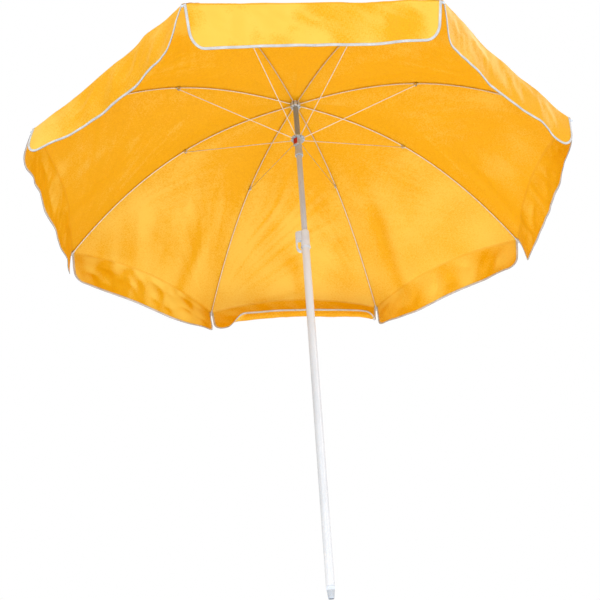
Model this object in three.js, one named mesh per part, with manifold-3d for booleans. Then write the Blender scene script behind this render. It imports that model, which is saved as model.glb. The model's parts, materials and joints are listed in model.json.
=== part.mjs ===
// Beach umbrella: an eight-gore folding canopy on a two-part telescoping pole.
// Millimetres, +Z up. The origin is the blunt end of the ground spike, on the pole's axis.
import * as THREE from 'three';
import { mergeVertices } from 'three/addons/utils/BufferGeometryUtils.js';
import Module from 'manifold-3d';

const wasm = await Module();
wasm.setup();

// ---- driving dimensions ----
const GAP = 0.3; // between pieces that touch on the real object

const GORES = 8;
const FIRST_RIB_DEG = -112.5; // the rib to the left of the front gore, which faces -Y
const CANOPY_RADIUS = 880; // pole axis to a rib's end
const RIB_DROP = 378; // a rib's end below its hub pivot
const RIB_CURVE = 2.5; // power of the rib's drop along its reach
const RIB_WIRE_RADIUS = 1.8;
const STRUT_WIRE_RADIUS = 1.5;

const HUB_PIVOT_RADIUS = 14;
const HUB_PIVOT_Z = 1706;
const RUNNER_PIVOT_RADIUS = 20.5;
const RUNNER_PIVOT_Z = 1552;
const STRUT_JOINT_X = 432; // along the rib, from the pole axis
const STRUT_JOINT_BELOW = 6.2; // rivet below the rib's centre line

const LOWER_POLE_RADIUS = 12.5;
const UPPER_POLE_RADIUS = 9.5;
const POLE_WALL = 1;
const SPIKE_HEIGHT = 33;
const LOWER_POLE_TOP = 1157.7;
const UPPER_POLE_BOTTOM = 640;
const UPPER_POLE_TOP = 1712;

const COLLAR_BOTTOM = 1104;
const COLLAR_TOP = 1170;
const COLLAR_RADIUS = 14.4;

const BUTTON_DEG = -128; // the runner's button, just under the flange
const BUTTON_Z = 1536;
const BUTTON_WIDTH = 15;
const BUTTON_HEIGHT = 24;

const SHEET_THICKNESS = 1.2;
const SHEET_LIFT = 7; // canopy sheet above the ribs' centre lines
const SHEET_START = 0.014; // share of the rib's reach where the sheet begins
const RIM_INSET = 0.035; // how far the hem's middle is cut back, as a share of the reach
const VALANCE_LENGTH = 120;
const VALANCE_TUCK_DEG = 10;
const VALANCE_CORNER = 28;
const SLIT_HALF_WIDTH = 6; // each valance's side from the rib, at the hem

const GORE_ANGLE = (2 * Math.PI) / GORES;
const RIB_REACH = CANOPY_RADIUS - HUB_PIVOT_RADIUS;

// ---- materials ----
const finish = (color, roughness, metalness) => () =>
  new THREE.MeshStandardMaterial({ color, roughness, metalness });
const canvas = finish(0xf7b500, 0.55, 0);
const wire = finish(0xc9c9c6, 0.35, 0.9);
const whitePaint = finish(0xe9e9e8, 0.35, 0.1);
const greyPaint = finish(0xb9babd, 0.4, 0.3);
const whitePlastic = finish(0xe4e4e2, 0.5, 0);
const redPlastic = finish(0xb3161b, 0.4, 0);
const springSteel = finish(0x9a9a9a, 0.3, 1);

// ---- solids ----
function toManifold(geometry) {
  const bare = geometry.clone();
  bare.deleteAttribute('normal');
  bare.deleteAttribute('uv');
  const merged = mergeVertices(bare, 1e-4);
  return new wasm.Manifold(
    new wasm.Mesh({
      numProp: 3,
      vertProperties: new Float32Array(merged.attributes.position.array),
      triVerts: new Uint32Array(merged.index.array),
    }),
  );
}

function toGeometry(solid) {
  const { vertProperties, triVerts } = solid.getMesh();
  const geometry = new THREE.BufferGeometry();
  geometry.setAttribute('position', new THREE.BufferAttribute(vertProperties, 3));
  geometry.setIndex(new THREE.BufferAttribute(triVerts, 1));
  geometry.computeVertexNormals();
  return geometry;
}

function combine(base, additions, cuts) {
  let solid = toManifold(base);
  for (const piece of additions) solid = solid.add(toManifold(piece));
  for (const piece of cuts) solid = solid.subtract(toManifold(piece));
  return toGeometry(solid);
}

function mesh(name, geometry, material) {
  const made = new THREE.Mesh(geometry, material());
  made.name = name;
  return made;
}

// A turned piece about +Z from [radius, height] pairs.
function turned(profile, segments = 32) {
  const points = profile.map(([radius, z]) => new THREE.Vector2(radius, z));
  return new THREE.LatheGeometry(points, segments).rotateX(Math.PI / 2);
}

// A ring-shaped turned piece, whose profile closes on itself.
function ringTurned(profile, segments = 32) {
  return turned([...profile, profile[0]], segments);
}

function tube(outer, inner, bottom, top, segments = 32) {
  return ringTurned([[inner, bottom], [outer, bottom], [outer, top], [inner, top]], segments);
}

function block(x0, x1, halfWidth, z0, z1) {
  return new THREE.BoxGeometry(x1 - x0, 2 * halfWidth, z1 - z0).translate(
    (x0 + x1) / 2,
    0,
    (z0 + z1) / 2,
  );
}

// A bar along Y through (x, z).
function crossBar(x, z, radius, halfLength, segments = 10) {
  return new THREE.CylinderGeometry(radius, radius, 2 * halfLength, segments).translate(x, 0, z);
}

// A bar along X at height z.
function lengthBar(x0, x1, z, radius, segments = 8) {
  return new THREE.CylinderGeometry(radius, radius, x1 - x0, segments)
    .rotateZ(Math.PI / 2)
    .translate((x0 + x1) / 2, 0, z);
}

function circleShape(radius, points) {
  const shape = new THREE.Shape();
  for (let i = 0; i < points; i += 1) {
    const angle = (2 * Math.PI * i) / points;
    const corner = [radius * Math.cos(angle), radius * Math.sin(angle)];
    if (i === 0) shape.moveTo(...corner);
    else shape.lineTo(...corner);
  }
  return shape;
}

function wireAlong(path, radius, steps) {
  return new THREE.ExtrudeGeometry(circleShape(radius, 6), { steps, extrudePath: path });
}

// ---- the rib's line, in its own XZ plane ----
function ribPoint(share) {
  return new THREE.Vector3(
    HUB_PIVOT_RADIUS + RIB_REACH * share,
    0,
    HUB_PIVOT_Z - RIB_DROP * share ** RIB_CURVE,
  );
}

function ribSlope(share) {
  return Math.atan((RIB_CURVE * RIB_DROP * share ** (RIB_CURVE - 1)) / RIB_REACH);
}

class RibLine extends THREE.Curve {
  constructor(start, end) {
    super();
    this.start = start;
    this.end = end;
  }

  getPoint(t) {
    return ribPoint(this.start + (this.end - this.start) * t);
  }
}

const STRUT_JOINT_SHARE = (STRUT_JOINT_X - HUB_PIVOT_RADIUS) / RIB_REACH;
const STRUT_JOINT_SLOPE = ribSlope(STRUT_JOINT_SHARE);
const STRUT_PIVOT = ribPoint(STRUT_JOINT_SHARE).add(
  new THREE.Vector3(-Math.sin(STRUT_JOINT_SLOPE), 0, -Math.cos(STRUT_JOINT_SLOPE)).multiplyScalar(
    STRUT_JOINT_BELOW,
  ),
);

// ---- pole ----
const SPIKE_TIP_RADIUS = 8;
const SPIKE_STEM_TOP = 60;

function groundSpike() {
  const stem = LOWER_POLE_RADIUS - POLE_WALL - GAP;
  return turned([
    [0, 0],
    [SPIKE_TIP_RADIUS, 0],
    [LOWER_POLE_RADIUS, SPIKE_HEIGHT],
    [stem, SPIKE_HEIGHT],
    [stem, SPIKE_STEM_TOP],
    [0, SPIKE_STEM_TOP],
  ]);
}

// The lock pin works through a window in the collar and the lower pole.
const LOCK_PIN_Z = 1134;
const LOCK_PIN_RADIUS = 2.4;
const WINDOW = block(-20, -9, LOCK_PIN_RADIUS + 0.8, LOCK_PIN_Z - 10, LOCK_PIN_Z + 7);

function lowerPole() {
  const inner = LOWER_POLE_RADIUS - POLE_WALL;
  const pipe = tube(LOWER_POLE_RADIUS, inner, SPIKE_HEIGHT + GAP, LOWER_POLE_TOP);
  return combine(pipe, [], [WINDOW]);
}

function upperPole() {
  const inner = UPPER_POLE_RADIUS - POLE_WALL;
  return tube(UPPER_POLE_RADIUS, inner, UPPER_POLE_BOTTOM, UPPER_POLE_TOP);
}

// A plastic end piece that centres the upper pole inside the lower one.
function guideBush() {
  const outer = LOWER_POLE_RADIUS - POLE_WALL - GAP;
  const bore = UPPER_POLE_RADIUS + GAP;
  const floor = UPPER_POLE_BOTTOM - GAP;
  return turned([
    [0, floor - 4],
    [outer, floor - 4],
    [outer, floor + 30],
    [bore, floor + 30],
    [bore, floor],
    [0, floor],
  ]);
}

// ---- height lock ----
// The lever turns on a pin between two cheeks that stand out from the collar on its -X side.
const LEVER_PIVOT_X = -18.5;
const LEVER_PIVOT_Z = 1160;
const LEVER_HALF_WIDTH = 4.5;
const LEVER_PIN_RADIUS = 1.6;
const CHEEK_THICKNESS = 2;
const CHEEK_INSIDE = LEVER_HALF_WIDTH + GAP;
const CHEEK_OUTSIDE = CHEEK_INSIDE + CHEEK_THICKNESS;
const ASSEMBLY_HOLE_X = -18;
const ASSEMBLY_HOLE_Z = 1137;
const COLLAR_LIP = 1.4; // how far the collar's bottom lip stands out
const COLLAR_LIP_HEIGHT = 6;

// Outlines of the lock have x outward from the pole and y up.
function lockPlate(shape, from, to) {
  return new THREE.ExtrudeGeometry(shape, {
    depth: to - from,
    bevelEnabled: false,
    curveSegments: 4,
  })
    .rotateX(Math.PI / 2)
    .translate(0, to, 0)
    .rotateZ(Math.PI);
}

function cheekOutline() {
  const shape = new THREE.Shape();
  shape.moveTo(12, 1131);
  shape.lineTo(23, 1131);
  shape.quadraticCurveTo(27.5, 1132, 27.5, 1138);
  shape.lineTo(27.5, 1158);
  shape.quadraticCurveTo(27, 1165, 20, 1166.5);
  shape.lineTo(12, 1168);
  shape.closePath();
  return shape;
}

function lockCollar() {
  const poleBore = LOWER_POLE_RADIUS + GAP;
  const throat = UPPER_POLE_RADIUS + GAP;
  const seat = LOWER_POLE_TOP + GAP;
  const body = ringTurned([
    [poleBore, COLLAR_BOTTOM],
    [COLLAR_RADIUS + COLLAR_LIP, COLLAR_BOTTOM],
    [COLLAR_RADIUS + COLLAR_LIP, COLLAR_BOTTOM + COLLAR_LIP_HEIGHT],
    [COLLAR_RADIUS, COLLAR_BOTTOM + COLLAR_LIP_HEIGHT + 2],
    [COLLAR_RADIUS, COLLAR_TOP - 6],
    [COLLAR_RADIUS - 1, COLLAR_TOP - 2],
    [COLLAR_RADIUS - 3, COLLAR_TOP],
    [throat, COLLAR_TOP],
    [throat, seat],
    [poleBore, seat],
  ]);
  const cheeks = [
    lockPlate(cheekOutline(), CHEEK_INSIDE, CHEEK_OUTSIDE),
    lockPlate(cheekOutline(), -CHEEK_OUTSIDE, -CHEEK_INSIDE),
  ];
  const through = CHEEK_OUTSIDE + 1;
  const eye = crossBar(LEVER_PIVOT_X, LEVER_PIVOT_Z, LEVER_PIN_RADIUS + GAP, through);
  const assemblyHole = crossBar(ASSEMBLY_HOLE_X, ASSEMBLY_HOLE_Z, LEVER_PIN_RADIUS, through);
  return combine(body, cheeks, [eye, assemblyHole, WINDOW]);
}

function leverPin() {
  return crossBar(LEVER_PIVOT_X, LEVER_PIVOT_Z, LEVER_PIN_RADIUS, CHEEK_OUTSIDE - 0.8);
}

// The lever's lower end is an open finger hook.
function leverOutline() {
  const shape = new THREE.Shape();
  shape.moveTo(15.4, 1131);
  shape.lineTo(15.4, 1160.5);
  shape.lineTo(17, 1164);
  shape.lineTo(24, 1167);
  shape.quadraticCurveTo(31, 1166, 31, 1159);
  shape.lineTo(31, 1110);
  shape.quadraticCurveTo(30, 1089, 16, 1088);
  shape.lineTo(14, 1088);
  shape.lineTo(14, 1093.5);
  shape.quadraticCurveTo(25, 1094, 25.2, 1110);
  shape.lineTo(25.2, 1122);
  shape.quadraticCurveTo(25, 1131, 19, 1131);
  shape.closePath();
  return shape;
}

function lockLever() {
  const plate = lockPlate(leverOutline(), -LEVER_HALF_WIDTH, LEVER_HALF_WIDTH);
  const pinFront = -UPPER_POLE_RADIUS - GAP;
  const lockPin = lengthBar(-18, pinFront, LOCK_PIN_Z, LOCK_PIN_RADIUS);
  const eye = crossBar(
    LEVER_PIVOT_X,
    LEVER_PIVOT_Z,
    LEVER_PIN_RADIUS + GAP,
    LEVER_HALF_WIDTH + 1,
  );
  return combine(plate, [lockPin], [eye]);
}

// ---- hub and top cap ----
const HUB_RADIUS = 18;
const HUB_BOTTOM = 1694;
const HUB_TOP = 1712.7;
const HUB_SLOT_HALF_WIDTH = 2.1;
const GROOVE_INNER = 11.3; // the round groove that holds the ribs' eyes and their ring
const GROOVE_OUTER = 16.9;
const GROOVE_FLOOR = 1702.6;
const RING_WIRE_RADIUS = 0.8;
const EYE_RADIUS = 2.3;
const EYE_HOLE_RADIUS = RING_WIRE_RADIUS + 0.35;
const CAP_UNDERSIDE = 1715;
const CAP_RADIUS = 34;
const KNOB_RADIUS = 8;
const KNOB_HEIGHT = 28;

function radialSlots(x0, x1, halfWidth, z0, z1) {
  const slots = [];
  for (let k = 0; k < GORES; k += 1) {
    const angle = THREE.MathUtils.degToRad(FIRST_RIB_DEG) + k * GORE_ANGLE;
    slots.push(block(x0, x1, halfWidth, z0, z1).rotateZ(angle));
  }
  return slots;
}

function hub() {
  const bore = UPPER_POLE_RADIUS + GAP;
  const body = ringTurned([
    [bore, HUB_BOTTOM],
    [HUB_RADIUS - 1.5, HUB_BOTTOM],
    [HUB_RADIUS, HUB_BOTTOM + 2],
    [HUB_RADIUS, HUB_TOP],
    [GROOVE_OUTER, HUB_TOP],
    [GROOVE_OUTER, GROOVE_FLOOR],
    [GROOVE_INNER, GROOVE_FLOOR],
    [GROOVE_INNER, HUB_TOP],
    [bore, HUB_TOP],
  ]);
  const slots = radialSlots(
    GROOVE_INNER + 0.1,
    HUB_RADIUS + 4,
    HUB_SLOT_HALF_WIDTH,
    HUB_BOTTOM - 4,
    HUB_TOP + 4,
  );
  return combine(body, [], slots);
}

function hubRing() {
  return new THREE.TorusGeometry(HUB_PIVOT_RADIUS, RING_WIRE_RADIUS, 5, 24).translate(
    0,
    0,
    HUB_PIVOT_Z,
  );
}

function topCap() {
  const stem = UPPER_POLE_RADIUS - POLE_WALL - GAP;
  return turned([
    [0, HUB_BOTTOM],
    [stem, HUB_BOTTOM],
    [stem, CAP_UNDERSIDE],
    [CAP_RADIUS - 1, CAP_UNDERSIDE],
    [CAP_RADIUS, CAP_UNDERSIDE + 1.5],
    [CAP_RADIUS - 3, CAP_UNDERSIDE + 4],
    [CAP_RADIUS - 12, CAP_UNDERSIDE + 8],
    [KNOB_RADIUS + 2, CAP_UNDERSIDE + 11],
    [KNOB_RADIUS, CAP_UNDERSIDE + 14],
    [KNOB_RADIUS, CAP_UNDERSIDE + KNOB_HEIGHT - 6],
    [KNOB_RADIUS - 2, CAP_UNDERSIDE + KNOB_HEIGHT - 2],
    [0, CAP_UNDERSIDE + KNOB_HEIGHT],
  ]);
}

// ---- runner ----
const RUNNER_BOTTOM = 1479;
const SLEEVE_RADIUS = 12.2;
const SLEEVE_RING_RADIUS = 13.7;
const SLEEVE_RING_HEIGHT = 16;
const SLEEVE_TOP = 1541;
const FLANGE_RADIUS = 24;
const FLANGE_BOTTOM = 1549;
const FLANGE_TOP = 1556.5;
const STRUT_SLOT_START = 17.6;
const STRUT_SLOT_HALF_WIDTH = 2;
const HOUSING_FRONT = 16.2;
const HOUSING_MARGIN_X = 5; // housing wider than the button
const HOUSING_MARGIN_Z = 12; // housing taller than the button
const BUTTON_FRONT = 16.5;
const BUTTON_BACK = 12.9;
const BUTTON_CORNER = 2.5;

// A plate with rounded corners facing along +X, from x0 to x1, centred at height BUTTON_Z.
function roundedPlate(width, height, corner, x0, x1, bevel = 0) {
  const w = width / 2 - corner;
  const h = height / 2 - corner;
  const shape = new THREE.Shape();
  shape.absarc(w, h, corner, 0, Math.PI / 2);
  shape.absarc(-w, h, corner, Math.PI / 2, Math.PI);
  shape.absarc(-w, -h, corner, Math.PI, 1.5 * Math.PI);
  shape.absarc(w, -h, corner, 1.5 * Math.PI, 2 * Math.PI);
  const plate = new THREE.ExtrudeGeometry(shape, {
    depth: x1 - x0 - 2 * bevel,
    bevelEnabled: bevel > 0,
    bevelThickness: bevel,
    bevelSize: bevel,
    bevelOffset: -bevel,
    bevelSegments: 1,
    curveSegments: 3,
  });
  return plate
    .translate(0, 0, x0 + bevel)
    .rotateY(Math.PI / 2)
    .rotateX(Math.PI / 2)
    .translate(0, 0, BUTTON_Z);
}

function atButton(geometry) {
  return geometry.rotateZ(THREE.MathUtils.degToRad(BUTTON_DEG));
}

function runner() {
  const bore = UPPER_POLE_RADIUS + 0.4;
  const body = ringTurned([
    [bore, RUNNER_BOTTOM],
    [SLEEVE_RING_RADIUS, RUNNER_BOTTOM],
    [SLEEVE_RING_RADIUS, RUNNER_BOTTOM + SLEEVE_RING_HEIGHT],
    [SLEEVE_RADIUS, RUNNER_BOTTOM + SLEEVE_RING_HEIGHT + 2],
    [SLEEVE_RADIUS, SLEEVE_TOP],
    [SLEEVE_RADIUS + 4, FLANGE_BOTTOM],
    [FLANGE_RADIUS - 1, FLANGE_BOTTOM],
    [FLANGE_RADIUS, FLANGE_BOTTOM + 1.5],
    [FLANGE_RADIUS, FLANGE_TOP - 1.5],
    [FLANGE_RADIUS - 1.5, FLANGE_TOP],
    [bore, FLANGE_TOP],
  ]);
  const housing = atButton(
    roundedPlate(
      BUTTON_WIDTH + HOUSING_MARGIN_X,
      BUTTON_HEIGHT + HOUSING_MARGIN_Z,
      3,
      bore + 1,
      HOUSING_FRONT,
    ),
  );
  const below = RUNNER_BOTTOM - 10;
  const above = FLANGE_TOP + 10;
  const boreCut = turned([[0, below], [bore, below], [bore, above], [0, above]]);
  const clear = 2 * GAP;
  const window = atButton(
    roundedPlate(BUTTON_WIDTH + clear, BUTTON_HEIGHT + clear, BUTTON_CORNER + GAP, 4, 20),
  );
  const slots = radialSlots(
    STRUT_SLOT_START,
    FLANGE_RADIUS + 3,
    STRUT_SLOT_HALF_WIDTH,
    FLANGE_BOTTOM - 7,
    FLANGE_TOP + 6,
  );
  return combine(body, [housing], [boreCut, window, ...slots]);
}

function runnerButton() {
  const bevel = 0.7;
  return atButton(
    roundedPlate(BUTTON_WIDTH, BUTTON_HEIGHT, BUTTON_CORNER, BUTTON_BACK, BUTTON_FRONT, bevel),
  );
}

// A bowed leaf spring between the button's back and the pole.
function buttonSpring() {
  const leaf = new THREE.Shape();
  const rise = 1.7;
  const half = 8;
  const thick = 0.5;
  const width = 5;
  const seatRadius = 10.1;
  leaf.moveTo(-half, 0);
  leaf.quadraticCurveTo(0, 2 * rise, half, 0);
  leaf.lineTo(half, thick);
  leaf.quadraticCurveTo(0, 2 * rise + thick, -half, thick);
  leaf.closePath();
  const strip = new THREE.ExtrudeGeometry(leaf, {
    depth: width,
    bevelEnabled: false,
    curveSegments: 8,
  })
    .translate(0, 0, -width / 2)
    .rotateZ(-Math.PI / 2)
    .rotateX(Math.PI / 2)
    .translate(seatRadius, 0, BUTTON_Z);
  return atButton(strip);
}

// ---- ribs, struts and their fittings, each in the rib's own XZ plane ----
const RIB_WIRE_START = 0.002; // share of the reach where the wire leaves its eye
const RIB_WIRE_STEPS = 16;
const RIB_EYE_HALF_WIDTH = 1.7;

function rib() {
  const body = wireAlong(new RibLine(RIB_WIRE_START, 1), RIB_WIRE_RADIUS, RIB_WIRE_STEPS);
  const eye = crossBar(HUB_PIVOT_RADIUS, HUB_PIVOT_Z, EYE_RADIUS, RIB_EYE_HALF_WIDTH);
  const hole = crossBar(HUB_PIVOT_RADIUS, HUB_PIVOT_Z, EYE_HOLE_RADIUS, 2 * RIB_EYE_HALF_WIDTH);
  return combine(body, [eye], [hole]);
}

// The clip is crimped round the rib and holds the strut's rivet between two cheeks.
const CLIP_HALF_LENGTH = 8;
const CLIP_CHEEK_HALF_LENGTH = 4.5;
const CLIP_CHEEK_Y = 2.45;
const CLIP_CHEEK_HALF_THICKNESS = 0.65;
const RIVET_RADIUS = 1.1;

function strutClip() {
  const boreRadius = RIB_WIRE_RADIUS + 0.9; // room for the rib's bend along the sleeve
  const sleeve = lengthBar(-CLIP_HALF_LENGTH, CLIP_HALF_LENGTH, 0, boreRadius + 1);
  const cheek = block(
    -CLIP_CHEEK_HALF_LENGTH,
    CLIP_CHEEK_HALF_LENGTH,
    CLIP_CHEEK_HALF_THICKNESS,
    -STRUT_JOINT_BELOW - 3,
    -1,
  );
  const cheeks = [
    cheek.clone().translate(0, CLIP_CHEEK_Y, 0),
    cheek.clone().translate(0, -CLIP_CHEEK_Y, 0),
  ];
  const rivetHalfLength = CLIP_CHEEK_Y + CLIP_CHEEK_HALF_THICKNESS;
  const rivet = crossBar(0, -STRUT_JOINT_BELOW, RIVET_RADIUS, rivetHalfLength);
  const bore = lengthBar(-CLIP_HALF_LENGTH - 4, CLIP_HALF_LENGTH + 4, 0, boreRadius);
  const joint = ribPoint(STRUT_JOINT_SHARE);
  return combine(sleeve, [...cheeks, rivet], [bore])
    .rotateY(STRUT_JOINT_SLOPE)
    .translate(joint.x, joint.y, joint.z);
}

const STRUT_EYE_HALF_WIDTH = 1.4;

function strut() {
  const dx = STRUT_PIVOT.x - RUNNER_PIVOT_RADIUS;
  const dz = STRUT_PIVOT.z - RUNNER_PIVOT_Z;
  const length = Math.hypot(dx, dz);
  const outerEye = crossBar(length, 0, EYE_RADIUS, STRUT_EYE_HALF_WIDTH);
  const innerEye = crossBar(0, 0, EYE_RADIUS, STRUT_EYE_HALF_WIDTH);
  const holes = [
    crossBar(length, 0, RIVET_RADIUS + GAP, 2 * STRUT_EYE_HALF_WIDTH),
    crossBar(0, 0, EYE_HOLE_RADIUS, 2 * STRUT_EYE_HALF_WIDTH),
  ];
  return combine(
    lengthBar(1.6, length - 1.8, 0, STRUT_WIRE_RADIUS, 6),
    [outerEye, innerEye],
    holes,
  )
    .rotateY(-Math.atan2(dz, dx))
    .translate(RUNNER_PIVOT_RADIUS, 0, RUNNER_PIVOT_Z);
}

// A round-nosed cap on the rib's end, reaching just past the canopy's corner.
const TIP_CAP_RADIUS = 3.4;
const TIP_CAP_OVERLAP = 12; // how far the cap reaches back over the wire
const TIP_CAP_NOSE = 13; // how far it reaches past the wire's end

function tipCap() {
  const bore = RIB_WIRE_RADIUS + 0.4;
  const boreEnd = 2;
  const cap = turned(
    [
      [0, boreEnd],
      [bore, boreEnd],
      [bore, -TIP_CAP_OVERLAP],
      [TIP_CAP_RADIUS, -TIP_CAP_OVERLAP],
      [TIP_CAP_RADIUS, TIP_CAP_NOSE - 3.5],
      [2, TIP_CAP_NOSE - 0.8],
      [0, TIP_CAP_NOSE],
    ],
    8,
  );
  const end = ribPoint(1);
  return cap
    .rotateY(Math.PI / 2)
    .rotateY(ribSlope(1))
    .translate(end.x, end.y, end.z);
}

// ---- canopy ----
// Point on the sewn sheet: across runs from -0.5 to 0.5 between mid-gore lines, 0 on the rib.
function sheetPoint(across, share) {
  const onRib = ribPoint(share);
  const slope = ribSlope(share);
  const reach = onRib.x + SHEET_LIFT * Math.sin(slope);
  const part = Math.abs(across);
  const y = reach * part * Math.sin(GORE_ANGLE);
  const seamGap = part === 0.5 ? GAP / 2 : 0;
  return new THREE.Vector3(
    reach * (1 - part + part * Math.cos(GORE_ANGLE)) - seamGap * Math.sin(GORE_ANGLE / 2),
    Math.sign(across) * (y - seamGap * Math.cos(GORE_ANGLE / 2)),
    onRib.z + SHEET_LIFT * Math.cos(slope),
  );
}

function rimShare(across) {
  const part = Math.abs(across);
  return 1 - RIM_INSET * 4 * part * (1 - part);
}

// The valance hangs from the hem and tucks in a little; its corner beside the rib is rounded.
function valancePoint(across, share) {
  const top = sheetPoint(across, rimShare(across));
  const side = Math.sign(across);
  const run = Math.abs(top.y) - SLIT_HALF_WIDTH;
  const corner = Math.max(0, VALANCE_CORNER - run);
  const depth =
    VALANCE_LENGTH - VALANCE_CORNER + Math.sqrt(VALANCE_CORNER ** 2 - corner ** 2);
  const drop = depth * share;
  const tuck = THREE.MathUtils.degToRad(VALANCE_TUCK_DEG);
  const inward = drop * Math.sin(tuck);
  return top.add(
    new THREE.Vector3(
      -inward * Math.cos(GORE_ANGLE / 2),
      -side * inward * Math.sin(GORE_ANGLE / 2),
      -drop * Math.cos(tuck),
    ),
  );
}

// A closed solid made by giving a quad sheet some thickness.
function thickened(points, quads, thickness) {
  const normals = points.map(() => new THREE.Vector3());
  for (const [a, b, c, d] of quads) {
    const normal = points[c]
      .clone()
      .sub(points[a])
      .cross(points[d].clone().sub(points[b]))
      .normalize();
    for (const corner of [a, b, c, d]) normals[corner].add(normal);
  }
  const shifted = (sign) =>
    points.map((point, i) =>
      point.clone().addScaledVector(normals[i].clone().normalize(), (sign * thickness) / 2),
    );
  const vertices = [...shifted(1), ...shifted(-1)];
  const under = points.length;
  const index = [];
  const edges = new Map();
  for (const quad of quads) {
    const [a, b, c, d] = quad;
    index.push(a, b, c, a, c, d);
    index.push(under + a, under + c, under + b, under + a, under + d, under + c);
    for (let i = 0; i < 4; i += 1) {
      const from = quad[i];
      const to = quad[(i + 1) % 4];
      if (!edges.delete(`${to},${from}`)) edges.set(`${from},${to}`, [from, to]);
    }
  }
  for (const [from, to] of edges.values()) {
    index.push(from, under + from, under + to, from, under + to, to);
  }
  const geometry = new THREE.BufferGeometry().setFromPoints(vertices);
  geometry.setIndex(index);
  geometry.computeVertexNormals();
  return geometry;
}

const HALF_COLUMNS = [0.012, 0.06, 0.26, 0.5];
const SHEET_ROWS = 8;
const VALANCE_ROWS = 2;

// One sector of the canopy: the sheet over one rib as far as both mid-gore lines, with its valances.
function canopySector() {
  const columns = [...HALF_COLUMNS.map((c) => -c).reverse(), 0, ...HALF_COLUMNS];
  const rows = SHEET_ROWS + VALANCE_ROWS;
  const points = [];
  const quads = [];
  columns.forEach((across) => {
    for (let row = 0; row <= SHEET_ROWS; row += 1) {
      const share = SHEET_START + (rimShare(across) - SHEET_START) * (row / SHEET_ROWS);
      points.push(sheetPoint(across, share));
    }
    for (let row = 1; row <= VALANCE_ROWS; row += 1) {
      points.push(valancePoint(across, row / VALANCE_ROWS));
    }
  });
  const ribColumn = HALF_COLUMNS.length;
  for (let column = 0; column < columns.length - 1; column += 1) {
    const besideRib = column === ribColumn - 1 || column === ribColumn;
    const lastRow = besideRib ? SHEET_ROWS : rows;
    for (let row = 0; row < lastRow; row += 1) {
      const corner = column * (rows + 1) + row;
      quads.push([corner, corner + 1, corner + rows + 2, corner + rows + 1]);
    }
  }
  return thickened(points, quads, SHEET_THICKNESS);
}

// ---- assembly ----
const umbrella = new THREE.Group();

umbrella.add(
  mesh('ground_spike', groundSpike(), whitePlastic),
  mesh('lower_pole', lowerPole(), whitePaint),
  mesh('lock_collar', lockCollar(), whitePlastic),
  mesh('lever_pin', leverPin(), springSteel),
  mesh('lock_lever', lockLever(), whitePlastic),
  mesh('upper_pole', upperPole(), greyPaint),
  mesh('guide_bush', guideBush(), whitePlastic),
  mesh('hub', hub(), whitePlastic),
  mesh('hub_ring', hubRing(), springSteel),
  mesh('top_cap', topCap(), whitePlastic),
  mesh('runner', runner(), whitePlastic),
  mesh('runner_button', runnerButton(), redPlastic),
  mesh('button_spring', buttonSpring(), springSteel),
);

for (let k = 1; k <= GORES; k += 1) {
  const section = new THREE.Group();
  section.rotation.z = THREE.MathUtils.degToRad(FIRST_RIB_DEG) + (k - 1) * GORE_ANGLE;
  section.add(
    mesh(`rib_${k}`, rib(), wire),
    mesh(`strut_${k}`, strut(), wire),
    mesh(`strut_clip_${k}`, strutClip(), wire),
    mesh(`tip_cap_${k}`, tipCap(), whitePlastic),
    mesh(`canopy_${k}`, canopySector(), canvas),
  );
  umbrella.add(section);
}

export default umbrella;
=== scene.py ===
"""Looks of the beach umbrella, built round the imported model. Metres, +Z up, origin at the spike's tip."""
import json
import math
from functools import partial

import bmesh
import bpy
import numpy as np
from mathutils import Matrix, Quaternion, Vector


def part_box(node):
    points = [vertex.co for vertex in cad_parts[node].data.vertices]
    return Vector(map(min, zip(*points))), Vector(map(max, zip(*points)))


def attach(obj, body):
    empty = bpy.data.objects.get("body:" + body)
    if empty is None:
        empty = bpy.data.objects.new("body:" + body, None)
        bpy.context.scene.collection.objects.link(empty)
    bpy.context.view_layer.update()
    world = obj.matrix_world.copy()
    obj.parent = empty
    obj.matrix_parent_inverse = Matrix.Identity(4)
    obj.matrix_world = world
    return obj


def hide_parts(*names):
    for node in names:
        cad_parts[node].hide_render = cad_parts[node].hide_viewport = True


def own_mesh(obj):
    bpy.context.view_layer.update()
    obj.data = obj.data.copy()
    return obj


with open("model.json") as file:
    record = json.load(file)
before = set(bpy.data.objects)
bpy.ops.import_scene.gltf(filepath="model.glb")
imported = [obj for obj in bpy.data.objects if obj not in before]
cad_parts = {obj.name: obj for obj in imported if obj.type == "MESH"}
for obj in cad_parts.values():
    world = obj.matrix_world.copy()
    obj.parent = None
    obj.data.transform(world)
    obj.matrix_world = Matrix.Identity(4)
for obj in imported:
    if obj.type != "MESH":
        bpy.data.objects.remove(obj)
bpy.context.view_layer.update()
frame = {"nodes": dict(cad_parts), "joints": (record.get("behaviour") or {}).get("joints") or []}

MM = 0.001

# ---- measures read from the frame ----
JOINTS = {joint["name"]: joint for joint in frame["joints"]}
RIBS = sum(name.startswith("rib_") for name in frame["nodes"])


def joint_place(name):
    return np.array(JOINTS[name]["pos_m"], float)


def node_points(name):
    return np.array([v.co for v in frame["nodes"][name].data.vertices], float)


HUB_PIVOT = joint_place("rib_fold_1")
RIB_ANGLES = [math.atan2(*joint_place(f"rib_fold_{k}")[1::-1]) for k in range(1, RIBS + 1)]
HUB_REACH = math.hypot(HUB_PIVOT[0], HUB_PIVOT[1])
HUB_HEIGHT = HUB_PIVOT[2]
GORE_ANGLE = 2 * math.pi / RIBS
RIB_POWER = 2.5  # the rib's drop grows with this power of its reach
RIB_RADIUS = 1.8 * MM
RUNNER_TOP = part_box("runner")[1][2]


def turned_about_z(points, angle):
    c, s = math.cos(angle), math.sin(angle)
    x, y, z = np.moveaxis(np.asarray(points, float), -1, 0)
    return np.stack([c * x - s * y, s * x + c * y, z], -1)


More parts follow.
